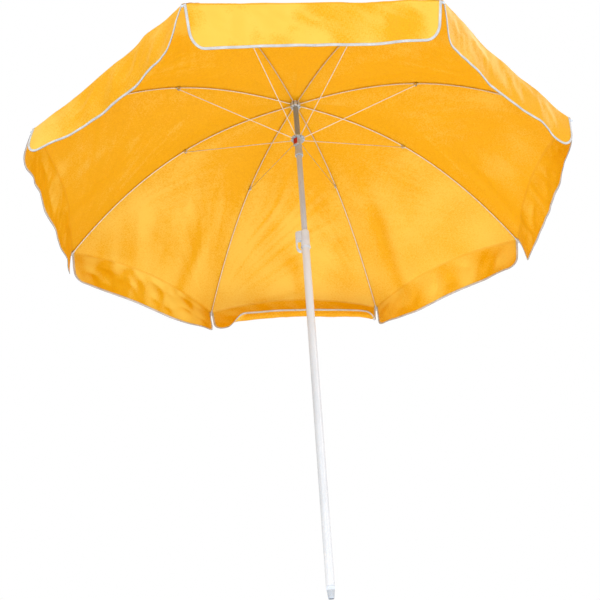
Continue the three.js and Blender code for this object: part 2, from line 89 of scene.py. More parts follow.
def rib_end():
    """(reach, height) of the middle of the wire's outer end face."""
    points = turned_about_z(node_points("rib_1"), -RIB_ANGLES[0])
    face = points[points[:, 0] > points[:, 0].max() - 3 * MM]
    middle = (face.min(0) + face.max(0)) / 2
    return middle[0], middle[2]


TIP_REACH, TIP_HEIGHT = rib_end()
RIB_REACH = TIP_REACH - HUB_REACH
RIB_DROP = HUB_HEIGHT - TIP_HEIGHT
HEM_CHORD = 2 * TIP_REACH * math.sin(GORE_ANGLE / 2)


def rib_line(share):
    """(reach, height) of the rib's centre line."""
    return HUB_REACH + RIB_REACH * share, HUB_HEIGHT - RIB_DROP * np.maximum(share, 0) ** RIB_POWER


def rib_slope(share):
    return np.arctan(RIB_POWER * RIB_DROP * np.maximum(share, 0) ** (RIB_POWER - 1) / RIB_REACH)


# ---- mesh helpers ----
def smooth_step(value, low, high):
    t = np.clip((value - low) / (high - low), 0, 1)
    return t * t * (3 - 2 * t)


def waves(x, y, wavelength, seed, count=9, spread=0.45):
    """Smooth seeded noise of about unit size: a sum of plane waves in all directions."""
    rng = np.random.default_rng(seed)
    total = np.zeros(np.broadcast(x, y).shape)
    for _ in range(count):
        angle = rng.uniform(0, 2 * math.pi)
        length = wavelength * rng.uniform(1 - spread, 1 + spread)
        phase = rng.uniform(0, 2 * math.pi)
        total += np.sin(2 * math.pi * (x * math.cos(angle) + y * math.sin(angle)) / length + phase)
    return total / math.sqrt(count)


def new_object(name, vertices, faces):
    mesh = bpy.data.meshes.new(name)
    mesh.from_pydata(np.asarray(vertices, float).tolist(), [], [list(map(int, f)) for f in faces])
    mesh.polygons.foreach_set("use_smooth", [True] * len(mesh.polygons))
    mesh.update()
    made = bpy.data.objects.new(name, mesh)
    bpy.context.scene.collection.objects.link(made)
    return made


def joined(parts):
    """One (vertices, faces) pair from several."""
    vertices, faces, offset = [], [], 0
    for part_vertices, part_faces in parts:
        vertices.append(np.asarray(part_vertices, float))
        faces.extend([[i + offset for i in face] for face in part_faces])
        offset += len(part_vertices)
    return np.concatenate(vertices), faces


def sweep(path, sides, wide, thick=None, across=None, power=2.0, closed=False):
    """A closed tube along path. wide and thick are its half sizes, across and square to the path."""
    path = np.asarray(path, float)
    count = len(path)
    thick = wide if thick is None else thick
    wide = np.broadcast_to(np.asarray(wide, float), (count,))
    thick = np.broadcast_to(np.asarray(thick, float), (count,))
    if closed:
        along = np.roll(path, -1, 0) - np.roll(path, 1, 0)
    else:
        along = np.gradient(path, axis=0)
    along /= np.linalg.norm(along, axis=1)[:, None]
    if across is None:
        guide = np.array([0.0, 0.0, 1.0]) if abs(along[0][2]) < 0.9 else np.array([1.0, 0.0, 0.0])
        across = np.cross(along, guide)
    across = np.asarray(across, float)
    across = across - (across * along).sum(1)[:, None] * along
    across /= np.linalg.norm(across, axis=1)[:, None]
    up = np.cross(along, across)
    turn = 2 * math.pi * np.arange(sides) / sides
    c = np.sign(np.cos(turn)) * np.abs(np.cos(turn)) ** (2 / power)
    s = np.sign(np.sin(turn)) * np.abs(np.sin(turn)) ** (2 / power)
    rings = (
        path[:, None]
        + across[:, None] * (wide[:, None] * c)[..., None]
        + up[:, None] * (thick[:, None] * s)[..., None]
    )
    vertices = rings.reshape(-1, 3)
    faces = []
    last = count if closed else count - 1
    for i in range(last):
        a, b = i * sides, (i + 1) % count * sides
        for j in range(sides):
            k = (j + 1) % sides
            faces.append([a + j, a + k, b + k, b + j])
    if not closed:
        faces.append(list(range(sides))[::-1])
        faces.append([(count - 1) * sides + j for j in range(sides)])
    return vertices, faces


def face_outwards(piece):
    bm = bmesh.new()
    bm.from_mesh(piece.data)
    bmesh.ops.recalc_face_normals(bm, faces=bm.faces)
    bm.to_mesh(piece.data)
    bm.free()


def clean(piece, distance=0.01 * MM, sharp_deg=35):
    """Merges double points, drops faces without area and points every face outwards."""
    bm = bmesh.new()
    bm.from_mesh(piece.data)
    bmesh.ops.remove_doubles(bm, verts=bm.verts, dist=distance)
    bmesh.ops.dissolve_degenerate(bm, edges=bm.edges, dist=distance)
    bmesh.ops.recalc_face_normals(bm, faces=bm.faces)
    for edge in bm.edges:
        edge.smooth = len(edge.link_faces) == 2 and edge.calc_face_angle(0) < math.radians(sharp_deg)
    bm.to_mesh(piece.data)
    bm.free()


# ---- canopy ----
SHEET_LIFT = 4.6 * MM  # the cloth's middle above the rib's centre line
SHEET_THICKNESS = 0.8 * MM
SHEET_START = -0.0025  # share of the rib's reach at which the cloth begins, under the top cap
HUB_LIFT = 3.3 * MM  # how much higher the cloth lies where it crosses the hub
HUB_LIFT_START = 20 * MM
HUB_LIFT_END = 60 * MM
RIM_INSET = 0.035  # how far the hem's middle is cut back, as a share of the reach
VALANCE = 120 * MM
SLIT_TOP = 3.0 * MM
SLIT_WIDENING = 0.13  # of the way down, on each side of the slit
CORNER_WIDE = 34 * MM
CORNER_DEEP = 46 * MM
PANEL_ROWS = 100
VALANCE_ROWS = 26
ARC_PER_REACH = 1.1  # the cloth's length down a gore against its reach
OUTER_ARC_PER_REACH = 1.12  # the same for the outer part, where the rib bends
SAG = 9 * MM
PUCKER_PITCH = 43 * MM
PUCKER_FADE = 20 * MM  # how far from the seam the puckers die away
PUCKER_HEIGHT = 0.45 * MM
STIFF_BESIDE_RIB = 45 * MM  # how far from a rib the relief takes to grow
# Undulations of the panels: wavelength and height.
BROAD_WAVE = (340 * MM, 2.4 * MM)
MIDDLING_WAVE = (150 * MM, 0.9 * MM)
FINE_WAVE = (70 * MM, 0.35 * MM)
# Creases that fan out from a rib's tip: radians of wave for each radian of bearing, and phase.
FAN_SPOKES = ((19, 0.4), (31, 1.9), (47, 3.1), (66, 5.0))
FAN_STEEPNESS = 0.0042  # height for each metre away from the tip
FAN_FADE = 400 * MM
LEAN_REACH = 160 * MM  # how far from a slit the valance's end lean is felt
PULL_REACH = 140 * MM
CALM_AT_TIP = 50 * MM  # within this of a slit a valance sways less
BOW = 4 * MM
CURL_START, CURL_END = 0.62, 0.90  # shares of the valance's depth
DROP_STEPS = 24  # steps in adding up a valance's curve from the hem down
# Each valance: how far it leans in towards the pole, in degrees, at its first rib, in its middle and
# at its second rib; how much more its lower edge curls in; how far its ends are drawn away from the
# ribs, and the size of its sways and crumples, in millimetres.
VALANCES = [
    {"lean": (25, 20, 13), "curl": 3, "pull": (0, 0), "sway": 2, "crumple": 4.5},
    {"lean": (8, 6, 4), "curl": 4, "pull": (0, 0), "sway": 3.5, "crumple": 3},
    {"lean": (8, -27, -6), "curl": 5, "pull": (0, 0), "sway": 4, "crumple": 3.5},
    {"lean": (8, -31, 16), "curl": 4, "pull": (0, 8), "sway": 3, "crumple": 4},
    {"lean": (26, 9, 26), "curl": 150, "pull": (0, 0), "sway": 2.5, "crumple": 2},
    {"lean": (18, -32, 4), "curl": 4, "pull": (0, 0), "sway": 3, "crumple": 6.5},
    {"lean": (2, -20, -13), "curl": 5, "pull": (0, 0), "sway": 4.5, "crumple": 3},
    {"lean": (-9, 12, -2), "curl": 4, "pull": (0, 24), "sway": 3.5, "crumple": 4},
]
# Painted sheen: how pale a painted highlight makes the satin, from 0 to 1: low on each panel, and on each
# valance.
PANEL_PAINTED_SHEEN = [0.10, 0.12, 0.10, 0.62, 0.70, 0.58, 0.06, 0.22]
VALANCE_PAINTED_SHEEN = [0.70, 0.30, 0.12, 0.50, 0.02, 0.42, 0.04, 0.14]
PAINTED_SHEEN_WAY = (0.62, 0.62, 0.48)  # painted highlight: cloth that turns this way off its plain lie is painted paler
PAINTED_SHEEN_GAIN = 2.6
CLOUD_WAVE = 220 * MM  # wavelength of the panels' patches of painted sheen
# How strongly wrinkles fan out over each panel from its first and its second rib's tip.
FANS = [(0.7, 0.5), (0.5, 0.6), (0.6, 0.8), (0.9, 0.7), (0.8, 2.3), (0.45, 0.8), (0.6, 0.5), (0.6, 0.7)]
# Soft valleys in the panels: panel, start and end as (part, share), width and depth in millimetres.
VALLEYS = [
    (3, (0.70, 0.50), (0.79, 1.02), 62, 9),
    (4, (0.62, 0.72), (0.40, 0.99), 60, 4),
    (5, (0.30, 0.62), (0.22, 1.00), 70, 5),
    (2, (0.72, 0.60), (0.86, 1.00), 60, 5),
    (7, (0.60, 0.55), (0.74, 0.95), 80, 5),
    (6, (0.34, 0.66), (0.22, 1.00), 70, 5),
]


def half_columns():
    """Places of the grid's columns from the rib to mid-gore, as parts of the hem's chord."""
    bend = np.linspace(0, math.pi / 2, 8)
    corner = SLIT_TOP + CORNER_WIDE * (1 - np.cos(bend))
    middle = np.linspace(corner[-1], HEM_CHORD / 2, 32)[1:]
    return np.concatenate([[0.0], corner, middle]) / HEM_CHORD


HALF = half_columns()
PARTS = np.concatenate([HALF, 1 - HALF[-2::-1]])
MIDDLE = len(HALF) - 1
COLUMNS = len(PARTS)


def rim_share(part):
    """Share of the reach at which the panel meets its valance."""
    return 1 - RIM_INSET * 4 * part * (1 - part)


def ruled(gore, part, share, lift):
    """Points of the sheet drawn straight from rib to rib, and its normals there."""
    reach, height = rib_line(share)
    slope = rib_slope(share)
    lift = lift + HUB_LIFT * smooth_step(reach, HUB_LIFT_END, HUB_LIFT_START)
    reach = reach + lift * np.sin(slope)
    left, right = RIB_ANGLES[gore], RIB_ANGLES[(gore + 1) % RIBS]
    x = reach * ((1 - part) * math.cos(left) + part * math.cos(right))
    y = reach * ((1 - part) * math.sin(left) + part * math.sin(right))
    z = height + lift * np.cos(slope)
    middle = left + GORE_ANGLE / 2
    normal = np.stack(
        [np.sin(slope) * math.cos(middle), np.sin(slope) * math.sin(middle), np.cos(slope)], -1
    )
    return np.stack([x, y, z], -1), normal


def fan_wrinkles(beside, below, seed):
    """Shallow creases that spread from a rib's tip, wider apart the further they run."""
    away = np.hypot(beside, below)
    bearing = np.arctan2(beside, below + 0.02)
    drift = waves(beside, below, 0.50, seed, count=4)
    crease = np.zeros_like(away)
    for spokes, phase in FAN_SPOKES:
        crease += np.sin(spokes * bearing + 0.035 * spokes * drift + phase + seed) * 0.55
    size = FAN_STEEPNESS * away * np.exp(-((away / FAN_FADE) ** 2)) * smooth_step(away, 0.03, 0.12)
    return size * crease * smooth_step(bearing, 0.06, 0.35)


def valley(part, share, start, end, width):
    """1 along a line over the panel, falling off to 0 beside it and at its start."""
    x, y = (part - 0.5) * HEM_CHORD * share, share * RIB_REACH
    ax, ay = (start[0] - 0.5) * HEM_CHORD * start[1], start[1] * RIB_REACH
    bx, by = (end[0] - 0.5) * HEM_CHORD * end[1], end[1] * RIB_REACH
    length = math.hypot(bx - ax, by - ay)
    ux, uy = (bx - ax) / length, (by - ay) / length
    along = (x - ax) * ux + (y - ay) * uy
    aside = (x - ax) * uy - (y - ay) * ux + 0.012 * np.sin(14 * along)
    return np.exp(-((aside / (0.5 * width)) ** 2)) * smooth_step(along, 0, 0.5 * length)


def panel_relief(gore, part, share):
    """How far the tensioned cloth stands off the ruled sheet, in metres."""
    beside = np.minimum(part, 1 - part) * HEM_CHORD * share
    below = np.abs(rim_share(part) - share) * RIB_REACH * OUTER_ARC_PER_REACH
    sag = -SAG * (4 * part * (1 - part)) * np.sin(math.pi * np.clip(share, 0, 1)) ** 0.8
    first = fan_wrinkles(part * HEM_CHORD * share, below, 40 + gore)
    second = fan_wrinkles((1 - part) * HEM_CHORD * share, below, 50 + gore)
    fans = FANS[gore][0] * first + FANS[gore][1] * second
    twist = waves(beside, below, 0.35, 30 + gore)
    pucker = np.sin(2 * math.pi * share * RIB_REACH / PUCKER_PITCH + 1.3 * twist)
    pucker = PUCKER_HEIGHT * pucker * np.exp(-beside / PUCKER_FADE)
    across, out = part * HEM_CHORD * share, share * RIB_REACH
    rolling = BROAD_WAVE[1] * waves(part * HEM_CHORD, out, BROAD_WAVE[0], 60 + gore)
    rolling = rolling + MIDDLING_WAVE[1] * waves(across, out, MIDDLING_WAVE[0], 70 + gore)
    rolling = rolling + FINE_WAVE[1] * waves(across, out, FINE_WAVE[0], 80 + gore)
    dents = np.zeros_like(share)
    for where, start, end, width, depth in VALLEYS:
        if where == gore:
            dents += depth * MM * valley(part, share, start, end, width * MM)
    free = 1 - np.exp(-((beside / STIFF_BESIDE_RIB) ** 2))
    held = smooth_step(share, 0.02, 0.12)
    slack = 0.35 + 0.65 * smooth_step(share, 0.35, 0.85)
    relief = sag + dents + fans + rolling * slack
    return (relief * free + pucker) * held


def panel_points(gore, part, share):
    flat, normal = ruled(gore, part, share, SHEET_LIFT)
    return flat + normal * panel_relief(gore, part, share)[..., None]


def panel_painted_sheen(gore, part, share):
    """Painted sheen standing in for the satin's highlight: paler towards the hem, and in the last gore
    towards its second rib, but not in the valleys, which are left darker as painted shade.
    """
    glow = PANEL_PAINTED_SHEEN[gore] * smooth_step(share, 0.30, 0.78)
    if gore == RIBS - 1:
        glow = glow + 0.6 * smooth_step(part, 0.45, 0.95) * smooth_step(share, 0.55, 0.95)
    for where, start, end, width, depth in VALLEYS:
        if where == gore:
            glow = glow - 0.06 * depth * valley(part, share, start, end, 0.9 * width * MM)
    cloud = waves(part * HEM_CHORD * share, share * RIB_REACH, CLOUD_WAVE, 170 + gore)
    return glow + 0.16 * cloud * smooth_step(share, 0.30, 0.78)


def valance_painted_sheen(gore, part, down):
    """Painted sheen on a valance, standing in for the satin's highlight: clouded, and in the last gore
    paler beside its first rib.
    """
    run = (part - 0.5) * HEM_CHORD
    cloud = waves(run, 0.6 * down * VALANCE, 0.12, 180 + gore, count=5)
    glow = VALANCE_PAINTED_SHEEN[gore] * (1 + 0.9 * cloud)
    if gore == RIBS - 1:
        glow = glow + 0.7 * np.exp(-(((part - 0.06) / 0.12) ** 2))
    return glow


def valance_points(gore, part, step):
    """Points of the flap below the hem. step runs from 0 at the hem to 1 at the free edge."""
    hem = panel_points(gore, part, rim_share(part))
    shape = VALANCES[gore]
    middle = RIB_ANGLES[gore] + GORE_ANGLE / 2
    outward = np.array([math.cos(middle), math.sin(middle), 0.0])
    sideways = np.array([-math.sin(middle), math.cos(middle), 0.0])
    run = (part - 0.5) * HEM_CHORD
    edge = HEM_CHORD / 2 - SLIT_TOP - np.abs(run)
    corner = np.clip(1 - edge / CORNER_WIDE, 0, 1)
    depth = (VALANCE - CORNER_DEEP + CORNER_DEEP * np.sqrt(1 - corner**2)) * step
    down = depth / VALANCE
    pull = np.where(run < 0, *shape["pull"]) * MM * down**1.5 * np.exp(-((edge / PULL_REACH) ** 2))
    squeeze = -run / (HEM_CHORD / 2) * SLIT_WIDENING * depth - np.sign(run) * pull
    at_first, at_middle, at_second = shape["lean"]
    at_end = np.where(run < 0, at_first, at_second)
    lean = at_middle + (at_end - at_middle) * np.exp(-((edge / LEAN_REACH) ** 2))
    rolled = shape["curl"] > 90  # a rolled edge lies flat again towards its second rib
    curl = shape["curl"] * (1 - smooth_step(part, 0.80, 0.93) * rolled)
    inward = np.zeros_like(depth)
    drop = np.zeros_like(depth)
    for t in (np.arange(DROP_STEPS) + 0.5) / DROP_STEPS:
        here = np.radians(lean + curl * smooth_step(down * t, CURL_START, CURL_END))
        inward += depth * np.sin(here) / DROP_STEPS
        drop += depth * np.cos(here) / DROP_STEPS
    tilt = np.radians(lean + curl * smooth_step(down, CURL_START, CURL_END))
    normal = outward * np.cos(tilt)[..., None] + np.array([0, 0, -1.0]) * np.sin(tilt)[..., None]
    sway = waves(run, 0.2 * depth, 0.30, 100 + gore, count=4)
    sway = sway + 0.45 * waves(run, 0.3 * depth, 0.12, 110 + gore)
    ridge = 0.55 - np.abs(waves(run, 1.1 * depth, 0.16, 140 + gore, count=4))
    crease = 0.5 - np.abs(waves(run, 0.9 * depth, 0.085, 150 + gore, count=4))
    crumple = (ridge + 0.5 * crease) * np.sin(math.pi * np.clip(down, 0, 1) ** 0.8) ** 0.8
    near_tip = np.exp(-((edge / CALM_AT_TIP) ** 2))
    folds = (shape["sway"] * sway * down + shape["crumple"] * crumple) * MM * (1 - 0.8 * near_tip)
    bow = BOW * np.sin(math.pi * down)
    points = (
        hem
        - outward * inward[..., None]
        - np.array([0, 0, 1.0]) * drop[..., None]
        + sideways * squeeze[..., None]
        + normal * (folds + bow)[..., None]
    )
    return points, normal


STEPS = COLUMNS - 1  # columns of quads in a gore
ROWS = PANEL_ROWS + 1  # rows of points in a panel
PANEL_COLUMNS = RIBS * STEPS
POINTS = PANEL_COLUMNS * ROWS + RIBS * COLUMNS * VALANCE_ROWS


def panel_index(column, row):
    """The number of a panel's point. Columns run round the whole canopy, rows from the hub to the hem."""
    return (column % PANEL_COLUMNS) * ROWS + row


def flap_index(gore, column, row):
    """The number of a valance's point. Row 0 is the hem, which the panel owns."""
    if row == 0:
        return panel_index(gore * STEPS + column, PANEL_ROWS)
    return PANEL_COLUMNS * ROWS + (gore * COLUMNS + column) * VALANCE_ROWS + row - 1


def sheet_points():
    """All points of the sheet, with each one's cloth measures, painted sheen and plain normal. The measures
    are metres aside from the rib, down the gore and beyond the hem."""
    points, cloth, plain = (np.zeros((POINTS, 3)) for _ in range(3))
    painted_sheen = np.zeros(POINTS)
    for gore in range(RIBS):
        part = PARTS[:-1, None]
        share = SHEET_START + (rim_share(part) - SHEET_START) * np.linspace(0, 1, ROWS)[None, :]
        at = slice(panel_index(gore * STEPS, 0), panel_index(gore * STEPS, 0) + STEPS * ROWS)
        points[at] = panel_points(gore, np.broadcast_to(part, share.shape), share).reshape(-1, 3)
        plain[at] = ruled(gore, part, share, SHEET_LIFT)[1].reshape(-1, 3)
        painted_sheen[at] = panel_painted_sheen(gore, part, share).ravel()
        aside = np.where(part > 0.5, part - 1, part) * HEM_CHORD * share
        along = share * RIB_REACH * ARC_PER_REACH
        beyond = (share - rim_share(part)) * RIB_REACH * ARC_PER_REACH
        cloth[at] = np.stack([aside, along, beyond], -1).reshape(-1, 3)

        drops = np.linspace(0, 1, VALANCE_ROWS + 1)[1:]
        part, drop = np.meshgrid(PARTS, drops, indexing="ij")
        at = slice(flap_index(gore, 0, 1), flap_index(gore, COLUMNS - 1, VALANCE_ROWS) + 1)
        flap, facing = valance_points(gore, part, drop)
        points[at] = flap.reshape(-1, 3)
        plain[at] = facing.reshape(-1, 3)
        painted_sheen[at] = valance_painted_sheen(gore, part, drop).ravel()
        aside = np.where(part > 0.5, part - 1, part) * HEM_CHORD
        along = RIB_REACH * ARC_PER_REACH + drop * VALANCE
        cloth[at] = np.stack([aside, along, drop * VALANCE], -1).reshape(-1, 3)
    return points, cloth, painted_sheen, plain


def cell(index, column, row):
    """The four corners of a quad that faces outwards."""
    return [index(column, row), index(column, row + 1), index(column + 1, row + 1), index(column + 1, row)]


def sheet_quads():
    """The sheet's quads, and the rib whose sector owns each one. The slits leave out a column of flap."""
    quads, owners = [], []
    for gore in range(RIBS):
        flap = partial(flap_index, gore)
        for column in range(STEPS):
            owner = gore if column < MIDDLE else (gore + 1) % RIBS
            found = [cell(panel_index, gore * STEPS + column, row) for row in range(PANEL_ROWS)]
            if 1 <= column < STEPS - 1:
                found += [cell(flap, column, row) for row in range(VALANCE_ROWS)]
            quads += found
            owners += [owner] * len(found)
    return np.array(quads), np.array(owners)


def free_edges(gore):
    """The bound edge of a valance, as two runs from its slits to its middle."""
    flap = partial(flap_index, gore)
    left = [flap(1, row) for row in range(VALANCE_ROWS + 1)]
    left += [flap(column, VALANCE_ROWS) for column in range(2, MIDDLE + 1)]
    right = [flap(COLUMNS - 2, row) for row in range(VALANCE_ROWS + 1)]
    right += [flap(column, VALANCE_ROWS) for column in range(COLUMNS - 3, MIDDLE - 1, -1)]
    return left, right


def point_normals(points, quads):
    corners = points[quads]
    face = np.cross(corners[:, 2] - corners[:, 0], corners[:, 3] - corners[:, 1])
    normals = np.zeros_like(points)
    for i in range(4):
        np.add.at(normals, quads[:, i], face)
    length = np.linalg.norm(normals, axis=1)[:, None]
    return normals / np.maximum(length, 1e-12)


def sheet_shell(name, points, normals, quads, cloth, painted_sheen):
    """A closed thin shell round part of the sheet, shaded with the whole sheet's normals."""
    used, index = np.unique(quads, return_inverse=True)
    local = index.reshape(quads.shape)
    count = len(used)
    n = normals[used]
    shell = np.concatenate(
        [points[used] + n * SHEET_THICKNESS / 2, points[used] - n * SHEET_THICKNESS / 2]
    )
    top = local
    under = local[:, ::-1] + count
    rim = {}
    for quad in local.tolist():
        for i in range(4):
            edge = (quad[i], quad[(i + 1) % 4])
            if edge[::-1] in rim:
                del rim[edge[::-1]]
            else:
                rim[edge] = True
    walls = np.array([[b, a, a + count, b + count] for a, b in rim])
    faces = np.concatenate([top, under, walls])
    piece = new_object(name, shell, faces)
    corner_normals = np.concatenate([n[top], -n[local[:, ::-1]]]).reshape(-1, 3)
    wall_corners = shell[walls]
    wall_normal = np.cross(
        wall_corners[:, 2] - wall_corners[:, 0], wall_corners[:, 3] - wall_corners[:, 1]
    )
    wall_normal /= np.maximum(np.linalg.norm(wall_normal, axis=1)[:, None], 1e-12)
    corner_normals = np.concatenate([corner_normals, np.repeat(wall_normal, 4, 0)])
    piece.data.normals_split_custom_set(corner_normals.tolist())
    measures = piece.data.attributes.new("cloth", "FLOAT_VECTOR", "POINT")
    both = np.concatenate([cloth[used], cloth[used]])
    measures.data.foreach_set("vector", both.astype(np.float32).ravel())
    # the painted sheen, a painted highlight that the canvas material reads
    painted_paleness = piece.data.attributes.new("painted_sheen", "FLOAT", "POINT")
    painted_paleness.data.foreach_set("value", np.tile(painted_sheen[used], 2).astype(np.float32))
    return piece


BIND_WIDE = 7.6 * MM
BIND_THICK = 2.3 * MM
BIND_INSET = 2.4 * MM
SEAM_WIDE = 9 * MM
SEAM_THICK = 0.7 * MM
SEAM_LIFT = 0.55 * MM


def tape(path, normals, wide, thick, inset, power, sides=14):
    """A flat tape along a path on the cloth, and its measures: along, across and a third that is always
    zero.
    """
    along = np.gradient(path, axis=0)
    along /= np.linalg.norm(along, axis=1)[:, None]
    across = np.cross(normals, along)
    vertices, faces = sweep(
        path + across * inset, sides, wide / 2, thick / 2, across=across, power=power
    )
    run = np.concatenate([[0], np.cumsum(np.linalg.norm(np.diff(path, axis=0), axis=1))])
    turn = 2 * math.pi * np.arange(sides) / sides
    run_all = np.repeat(run, sides)
    side_all = np.tile(np.cos(turn) * wide / 2, len(path))
    return vertices, faces, np.stack([run_all, side_all, np.zeros_like(run_all)], -1)


def add_tape(name, strips):
    """One piece from several tapes, with their measures."""
    vertices, faces = joined([strip[:2] for strip in strips])
    piece = new_object(name, vertices, faces)
    measures = piece.data.attributes.new("cloth", "FLOAT_VECTOR", "POINT")
    values = np.concatenate([strip[2] for strip in strips])
    measures.data.foreach_set("vector", values.astype(np.float32).ravel())
    face_outwards(piece)
    return piece


def make_canopy():
    """The sheet, cut into one sector for each rib, with its edge tapes and its seam."""
    points, cloth, painted_sheen, plain = sheet_points()
    quads, owners = sheet_quads()
    normals = point_normals(points, quads)
    # painted highlight: cloth tilted one way off its plain lie gets more painted sheen
    painted_sheen = painted_sheen + PAINTED_SHEEN_GAIN * ((normals - plain) @ np.array(PAINTED_SHEEN_WAY))
    for k in range(RIBS):
        body = f"rib_{k + 1}"
        turn = np.arctan2(points[:, 1], points[:, 0]) - RIB_ANGLES[k]
        own = cloth.copy()
        own[:, 0] = np.copysign(cloth[:, 0], np.sin(turn))
        sector = sheet_shell(f"canopy_sheet_{k + 1}", points, normals, quads[owners == k], own, painted_sheen)
        left, right = free_edges(k)[0], free_edges((k - 1) % RIBS)[1]
        strips = []
        for path, sign in ((left, 1), (right, -1)):
            inset = sign * BIND_INSET
            strips.append(tape(points[path], normals[path], BIND_WIDE, BIND_THICK, inset, 3.2))
        binding = add_tape(f"binding_{k + 1}", strips)
        line = [panel_index(k * STEPS, row) for row in range(ROWS)]
        seam_path = points[line] + normals[line] * SEAM_LIFT
        strip = tape(seam_path, normals[line], SEAM_WIDE, SEAM_THICK, 0, 4)
        seam = add_tape(f"seam_{k + 1}", [strip])
        sector.data.materials.append(MATERIALS["canvas"])
        seam.data.materials.append(MATERIALS["seam"])
        binding.data.materials.append(MATERIALS["binding"])
        for piece in (sector, binding, seam):
            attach(piece, body)
            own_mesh(piece)
        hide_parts(f"canopy_{k + 1}")


# ---- wires and the button's spring ----
RIB_EYE = (2.1 * MM, 0.95 * MM)  # radius of the eye's middle line, and of its wire
STRUT_OUTER_EYE = (2.1 * MM, 0.75 * MM)
STRUT_INNER_EYE = (2.0 * MM, 0.75 * MM)
STRUT_EYE_RADIUS = 2.3 * MM  # from the strut's inner end to the middle of its pivot
STRUT_RADIUS = 1.5 * MM
STRUT_END_GAP = 2.6 * MM  # from the middle of each eye to the end of the straight wire
LEAF_WIDE = 5 * MM
LEAF_THICK = 0.5 * MM


def eye_ring(centre, major, minor, segments=28, sides=10):
    """A wire eye in the XZ plane."""
    turn = 2 * math.pi * np.arange(segments) / segments
    path = np.stack([np.cos(turn) * major, 0 * turn, np.sin(turn) * major], -1) + centre
    across = path - centre
    return sweep(path, sides, minor, across=across, closed=True)


def make_rib(k):
    share = np.linspace(0.004, 1, 90)
    reach, height = rib_line(share)
    path = np.stack([reach, 0 * reach, height], -1)
    thin = np.where(share < 0.01, 0.8, 1.0) * RIB_RADIUS
    across = np.tile([0.0, 1.0, 0.0], (len(path), 1))
    wire = sweep(path, 14, thin, across=across)
    eye = eye_ring(np.array([HUB_REACH, 0, HUB_HEIGHT]), *RIB_EYE)
    vertices, faces = joined([wire, eye])
    rib = new_object(f"rib_wire_{k + 1}", turned_about_z(vertices, RIB_ANGLES[k]), faces)
    finish_piece(rib, f"rib_{k + 1}", "wire", f"rib_{k + 1}")


def strut_ends():
    """The rivet on the rib and the pivot at the runner, in rib 1's own XZ plane."""
    outer = turned_about_z(joint_place("strut_fold_1"), -RIB_ANGLES[0])
    points = turned_about_z(node_points("strut_1"), -RIB_ANGLES[0])
    nearest = points[:, 0].min()
    eye_heights = points[points[:, 0] < nearest + 2 * STRUT_EYE_RADIUS][:, 2]
    inner = np.array([nearest + STRUT_EYE_RADIUS, 0, (eye_heights.min() + eye_heights.max()) / 2])
    outer[1] = 0
    return outer, inner


def make_strut(k):
    outer, inner = strut_ends()
    way = (outer - inner) / np.linalg.norm(outer - inner)
    steps = np.linspace(0, 1, 40)[:, None]
    path = inner + way * STRUT_END_GAP + steps * (outer - inner - 2 * way * STRUT_END_GAP)
    across = np.tile([0.0, 1.0, 0.0], (len(path), 1))
    wire = sweep(path, 12, STRUT_RADIUS, across=across)
    eyes = [eye_ring(outer, *STRUT_OUTER_EYE), eye_ring(inner, *STRUT_INNER_EYE)]
    vertices, faces = joined([wire, *eyes])
    strut = new_object(f"strut_wire_{k + 1}", turned_about_z(vertices, RIB_ANGLES[k]), faces)
    finish_piece(strut, f"strut_{k + 1}", "wire", f"strut_{k + 1}")


def make_button_leaf():
    """The bowed leaf behind the runner's button, made in its bowed shape only; the real leaf flattens
    against the pole when the button is pressed.
    """
    points = node_points("button_spring")
    press = np.array(JOINTS["button_press"]["axis"], float)
    sideways = np.cross([0.0, 0.0, 1.0], press)
    deep = points @ press
    middle = (points.min(0) + points.max(0)) / 2
    seat = middle + press * (deep.max() - middle @ press)
    half = (points[:, 2].max() - points[:, 2].min()) / 2 - LEAF_THICK / 2
    rise = deep.max() - deep.min() - LEAF_THICK
    run = np.linspace(-1, 1, 33)[:, None]
    path = seat - press * (LEAF_THICK / 2 + rise * (1 - run**2)) + np.array([0, 0, half]) * run
    across = np.tile(sideways, (len(path), 1))
    vertices, faces = sweep(path, 20, LEAF_WIDE / 2, LEAF_THICK / 2, across=across, power=6)
    leaf = new_object("button_leaf", vertices, faces)
    finish_piece(leaf, "runner", "steel", "button_spring")
    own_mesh(leaf)


def finish_piece(piece, body, finish, replaced):
    """Cleans a metal piece, gives it the material of its finish, sets it on its body and hides the CAD node
    that it stands in for.
    """
    clean(piece)
    piece.data.materials.append(MATERIALS[finish])
    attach(piece, body)
    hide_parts(replaced)


# ---- materials ----
MATERIALS = {}


def material_tree(name):
    material = bpy.data.materials.new(name)
    material.use_nodes = True
    material.node_tree.nodes.clear()
    MATERIALS[name] = material
    return material.node_tree


def add(tree, kind, inputs=None, **settings):
    """A node with its settings, and its inputs set to a value or linked to a socket."""
    made = tree.nodes.new(kind)
    for key, value in settings.items():
        setattr(made, key, value)
    for key, value in (inputs or {}).items():
        if isinstance(value, bpy.types.NodeSocket):
            tree.links.new(value, made.inputs[key])
        else:
            made.inputs[key].default_value = value
    return made


def math_node(tree, operation, a, b=0.0):
    return add(tree, "ShaderNodeMath", {0: a, 1: b}, operation=operation).outputs[0]


def ramp(tree, value, low, high, out_low=0.0, out_high=1.0):
    inputs = {"Value": value, 1: low, 2: high, 3: out_low, 4: out_high}
    return add(tree, "ShaderNodeMapRange", inputs).outputs[0]


def noise(tree, vector, scale, detail=2.0, roughness=0.5):
    inputs = {"Vector": vector, "Scale": scale, "Detail": detail, "Roughness": roughness}
    return add(tree, "ShaderNodeTexNoise", inputs).outputs["Fac"]


def stretched(tree, vector, scale):
    return add(tree, "ShaderNodeMapping", {"Vector": vector, "Scale": scale}).outputs[0]


def blend_colour(tree, share, a, b):
    inputs = {0: share, 6: a, 7: b}
    return add(tree, "ShaderNodeMix", inputs, data_type="RGBA").outputs[2]


